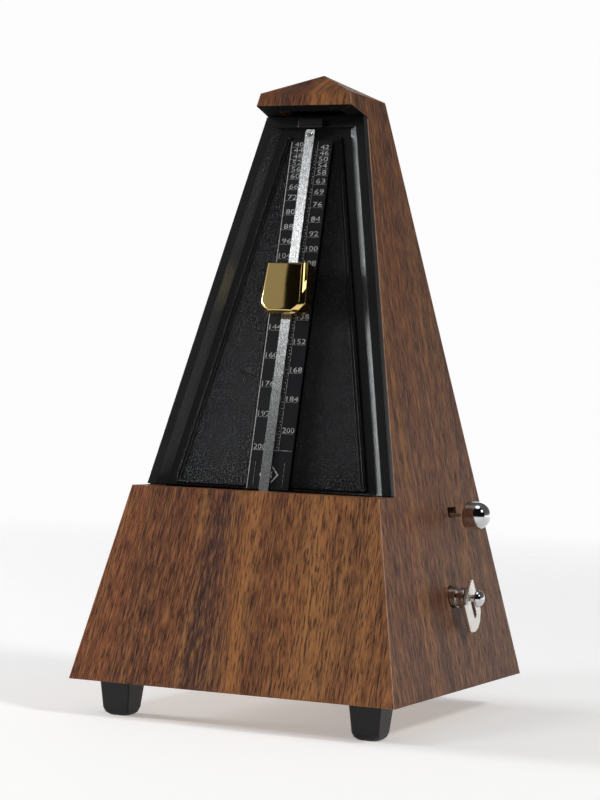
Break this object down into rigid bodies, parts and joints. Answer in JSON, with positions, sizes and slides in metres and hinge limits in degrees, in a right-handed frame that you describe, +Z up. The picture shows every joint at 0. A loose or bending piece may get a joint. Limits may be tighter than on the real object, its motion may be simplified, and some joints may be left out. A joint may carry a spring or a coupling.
{
  "type": "metronome",
  "caption": "Wind-up metronome in a tapered wooden case: swinging rod with a sliding weight over a tempo scale, winding key and bell selector on the side.",
  "frame": {"origin": "on the ground under the middle of the bounding box", "axes": "+Z up, -Y towards the scale side, +X towards the key and selector side"},
  "size_m": [0.121, 0.1182, 0.2174],
  "materials": {
    "wood": "satin walnut-look veneer",
    "base_wood": "plain, unpolished",
    "foot_rubber": "matt",
    "black_plastic": "satin, fine grain",
    "grained_black": "leather grain",
    "number_strip": "leather grain with pale printing",
    "rod_steel": "plated, bright",
    "steel": "turned",
    "blued_steel": "blued spring steel",
    "gong_steel": "nickelled",
    "iron": "as cast",
    "gold": "polished gold plate",
    "brass": "brushed",
    "nickel": "satin nickel plate",
    "chrome": "mirror"
  },
  "bodies": {
    "case": {"left_board": "wood", "right_board": "wood", "back_board": "wood", "front_board": "wood", "front_header": "wood", "roof_cap": "wood", "base_board": "base_wood", "foot_front_left": "foot_rubber", "foot_front_right": "foot_rubber", "foot_rear": "foot_rubber", "screw_front_left": "steel", "screw_front_right": "steel", "screw_rear": "steel", "mount_screw_1": "steel", "mount_screw_2": "steel", "scale_frame": "black_plastic", "scale_panel": "grained_black", "number_strip": "number_strip", "rod_catch": "black_plastic", "plate_left": "brass", "plate_right": "brass", "pillar_1": "brass", "pillar_2": "brass", "pillar_3": "brass", "pillar_4": "brass", "verge_bridge_front": "brass", "verge_cock_rear": "brass", "escape_cock": "brass", "mainspring": "blued_steel", "hammer_spring": "blued_steel", "gong_bracket": "brass", "gong_post": "steel", "gong": "gong_steel"},
    "pendulum": {"pendulum_rod": "rod_steel", "rod_hub": "steel", "verge_arbor": "steel", "lower_bob": "iron", "bob_rivet": "steel"},
    "tempo_slider": {"tempo_weight": "gold", "weight_back": "gold", "weight_spring": "steel"},
    "winder": {"winding_arbor": "steel", "ratchet_wheel": "steel", "key_boss": "nickel", "key_plate": "nickel", "key_cap": "chrome"},
    "great": {"great_wheel": "brass", "click": "steel"},
    "second": {"second_arbor": "steel", "second_wheel": "brass"},
    "escape": {"escape_arbor": "steel", "escape_wheel": "brass"},
    "beat": {"beat_arbor": "steel", "beat_drum": "brass"},
    "selector": {"selector_rod": "rod_steel", "selector_knob": "chrome", "selector_finger": "steel"},
    "hammer": {"hammer_arbor": "steel", "hammer_arm": "brass", "hammer_head": "brass"}
  },
  "joints": [
    {"name": "pendulum_swing", "type": "hinge", "parent": "case", "child": "pendulum", "pos_m": [-0.00255, -0.03875, 0.06278], "axis": [0, 0.9762, -0.2169], "range_deg": [-22, 22]},
    {"name": "weight_slide", "type": "slide", "parent": "pendulum", "child": "tempo_slider", "axis": [0, 0.2169, 0.9762], "range_m": [-0.0555, 0.0437]},
    {"name": "key_turn", "type": "hinge", "parent": "case", "child": "winder", "pos_m": [-0.00255, 0.0045, 0.0423], "axis": [1, 0, 0], "continuous": true},
    {"name": "great_turn", "type": "hinge", "parent": "case", "child": "great", "pos_m": [-0.00255, 0.0045, 0.0423], "axis": [1, 0, 0], "continuous": true},
    {"name": "second_turn", "type": "hinge", "parent": "case", "child": "second", "pos_m": [-0.00255, 0.00199, 0.06012], "axis": [1, 0, 0], "continuous": true},
    {"name": "escape_turn", "type": "hinge", "parent": "case", "child": "escape", "pos_m": [-0.00255, -0.01132, 0.05669], "axis": [1, 0, 0], "continuous": true},
    {"name": "beat_turn", "type": "hinge", "parent": "case", "child": "beat", "pos_m": [-0.00255, 0.01463, 0.05631], "axis": [1, 0, 0], "continuous": true},
    {"name": "selector_pull", "type": "slide", "parent": "case", "child": "selector", "axis": [1, 0, 0], "range_m": [0, 0.01]},
    {"name": "hammer_swing", "type": "hinge", "parent": "case", "child": "hammer", "pos_m": [-0.00255, 0.026, 0.068], "axis": [1, 0, 0], "range_deg": [-12, 4.5], "stiffness_Nm_per_rad": 0.01}
  ],
  "couplings": [
    {"joint": "second_turn", "follows": "escape_turn", "ratio": -0.25},
    {"joint": "great_turn", "follows": "escape_turn", "ratio": 0.05},
    {"joint": "beat_turn", "follows": "escape_turn", "ratio": 1.25}
  ]
}
